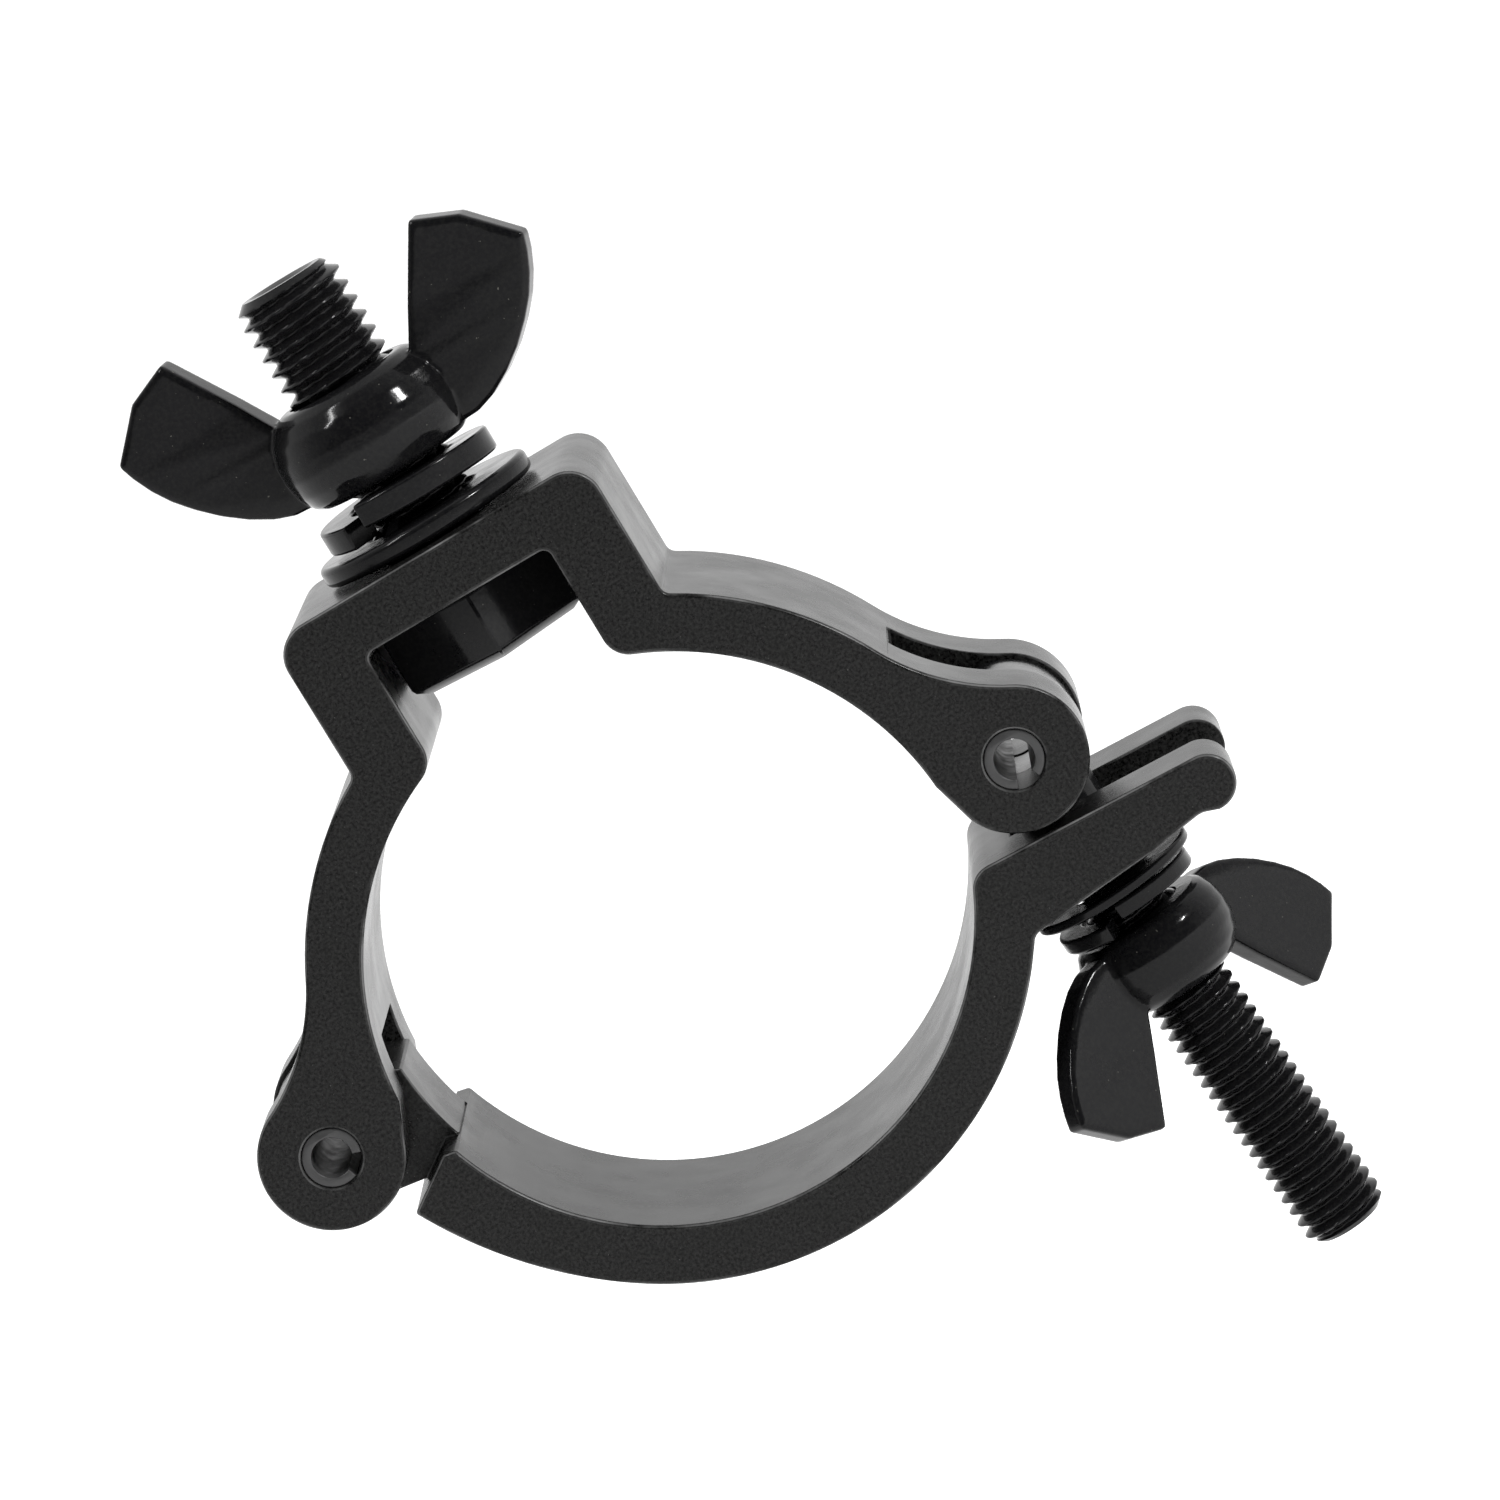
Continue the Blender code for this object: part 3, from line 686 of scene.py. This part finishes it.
def build_pieces():
    jaw, hardware, steel = jaw_finish(), hardware_finish(), pin_finish()
    piece(upper_jaw(), "upper_jaw_skin", "upper_jaw", "upper_jaw", jaw)
    piece(lower_jaw(), "lower_jaw_skin", "lower_jaw", "lower_jaw", jaw)
    for node, centre, gap_angle in (("hinge_pin", HINGE, -43.0), ("swing_pin", SWING, -88.0)):
        pin = extruded("pin", spring_pin_outline(centre, gap_angle), JAW_WIDTH - 0.4, 0.12)
        piece(pin, node + "_skin", node, "upper_jaw", steel)
    upright = Matrix.Identity(4)
    flat_at, lock_at = SWING_WASHER_AT, SWING_WASHER_AT + 1.1
    drawn = (
        ("mounting_bolt", "upper_jaw", mounting_bolt(), upright, 34.0),
        ("mounting_flat_washer", "mounting_washers",
         flat_washer("washer", M10_WASHER_BORE, 10.2, HAT_TOP + 0.25, HAT_TOP + 2.1), upright, 34.0),
        ("mounting_lock_washer", "mounting_washers",
         lock_washer("lock", M10_WASHER_BORE, 8.5, 2.2, 1.3, HAT_TOP + 2.4, -118.0), upright, 34.0),
        ("mounting_wing_nut", "mounting_wing_nut",
         wing_nut("nut", M10), nut_turn(MOUNT_NUT_BASE_Z, MOUNT_NUT_TURN), 50.0),
        ("swing_bolt", "swing_bolt", swing_bolt(), upright, 34.0),
        ("swing_flat_washer", "swing_washers",
         flat_washer("washer", M8_WASHER_BORE, 7.7, flat_at, flat_at + 0.9), SWING_AXIS, 34.0),
        ("swing_lock_washer", "swing_washers",
         lock_washer("lock", M8_WASHER_BORE, 6.75, 1.5, 1.2, lock_at, -70.0), SWING_AXIS, 34.0),
        ("swing_wing_nut", "swing_wing_nut",
         wing_nut("nut", M8), SWING_AXIS @ nut_turn(SWING_NUT_AT, SWING_NUT_TURN), 50.0),
    )
    for node, body, solid, place, smooth in drawn:
        piece(placed(solid, place), node + "_skin", node, body, hardware, smooth)


# ---------------------------------------------------------------- studio

CAMERA_ROLL = math.radians(30.92)  # the bolt leans this far to the left of the picture's up
CAMERA_DOWN = math.radians(10.02)
CAMERA_TURN = math.radians(0.49)
CAMERA_DISTANCE = 607.6
CAMERA_LENS = 172.8
AIM = (6.23, 18.25, -12.5)  # right, up and into the picture, from the tube's axis


def make_camera():
    right = Vector((math.cos(CAMERA_ROLL), 0.0, -math.sin(CAMERA_ROLL)))
    up = Vector((math.sin(CAMERA_ROLL), 0.0, math.cos(CAMERA_ROLL)))
    into = Vector((0.0, 1.0, 0.0))
    level = into * math.cos(CAMERA_TURN) - right * math.sin(CAMERA_TURN)
    forward = level * math.cos(CAMERA_DOWN) - up * math.sin(CAMERA_DOWN)
    side = right * math.cos(CAMERA_TURN) + into * math.sin(CAMERA_TURN)
    above = side.cross(forward)
    aim = right * AIM[0] + up * AIM[1] + into * AIM[2]
    place = (aim - forward * CAMERA_DISTANCE) * MM
    data = bpy.data.cameras.new("camera")
    data.lens = CAMERA_LENS
    data.sensor_width = 36.0
    data.clip_start = 0.01
    data.clip_end = 100.0
    camera = bpy.data.objects.new("camera", data)
    basis = Matrix((side, above, -forward)).transposed().to_4x4()
    camera.matrix_world = Matrix.Translation(place) @ basis
    bpy.context.scene.collection.objects.link(camera)
    bpy.context.scene.camera = camera
    return right, up


def area_light(name, place, target, size, power):
    data = bpy.data.lights.new(name, "AREA")
    data.shape = "RECTANGLE"
    data.size, data.size_y = size
    data.energy = power
    light = bpy.data.objects.new(name, data)
    light.location = place
    aim = Vector(target) - Vector(place)
    light.rotation_euler = aim.to_track_quat("-Z", "Y").to_euler()
    bpy.context.scene.collection.objects.link(light)


def make_world():
    """White all round, darker from the camera's side, so that faces turned to the camera stay dark."""
    world = bpy.data.worlds.new("studio")
    bpy.context.scene.world = world
    world.use_nodes = True
    nodes, links = world.node_tree.nodes, world.node_tree.links
    background = nodes["Background"]
    heading = nodes.new("ShaderNodeTexCoord").outputs["Generated"]
    dot = nodes.new("ShaderNodeVectorMath")
    dot.operation = "DOT_PRODUCT"
    dot.inputs[1].default_value = (0.1, -1.0, 0.05)
    links.new(heading, dot.inputs[0])
    shade = remap(nodes, links, dot.outputs["Value"], -0.05, 0.6, 1.15, 0.03)
    links.new(shade, background.inputs["Strength"])
    background.inputs["Color"].default_value = (1.0, 1.0, 1.0, 1.0)


def open_jaw_reach():
    """Height of the lower jaw's lowest point, its fork's tip, when it is swung fully open."""
    swing = math.radians(JAW_SWING)
    x, z = ARM_TIP_CENTRE[0] - HINGE[0], ARM_TIP_CENTRE[1] - HINGE[1]
    return (HINGE[1] - x * math.sin(swing) + z * math.cos(swing) - ARM_TIP_RADIUS) * MM


def make_floor():
    """The clamp is held by its tube, so the floor lies clear of the open jaw."""
    lowest = min(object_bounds()[0][2], cad_bounds[0][2], open_jaw_reach())
    bm = bmesh.new()
    bmesh.ops.create_circle(bm, cap_ends=True, segments=96, radius=20.0)
    bmesh.ops.translate(bm, vec=(0.0, 0.0, lowest - 0.002), verts=bm.verts)
    floor = from_bmesh("floor", bm)
    material = bpy.data.materials.new("pale_floor")
    nodes, links = nodes_of(material)
    shader = nodes["Principled BSDF"]
    place = nodes.new("ShaderNodeTexCoord").outputs["Object"]
    cloud = noise(nodes, links, place, 3.0, 2.0)
    colour = blend_colours(nodes, links, cloud, (0.93, 0.93, 0.93), (0.95, 0.95, 0.95))
    links.new(colour, shader.inputs["Base Color"])
    shader.inputs["Roughness"].default_value = 0.9
    shader.inputs["Specular IOR Level"].default_value = 0.1
    shader.inputs["Emission Color"].default_value = (1.0, 1.0, 1.0, 1.0)
    shader.inputs["Emission Strength"].default_value = 0.35
    floor.data.materials.append(material)


build_pieces()
right, up = make_camera()
make_world()
make_floor()
centre = (0.0, 0.0, 0.0)
area_light("key", up * 0.9 + right * 0.5 + Vector((0.0, -0.5, 0.0)), centre, (0.14, 0.14), 12.0)
area_light("strip", up * 0.5 - right * 0.8 + Vector((0.0, -0.45, 0.0)), centre, (0.04, 0.6), 6.0)
bpy.context.scene.view_settings.view_transform = "Standard"
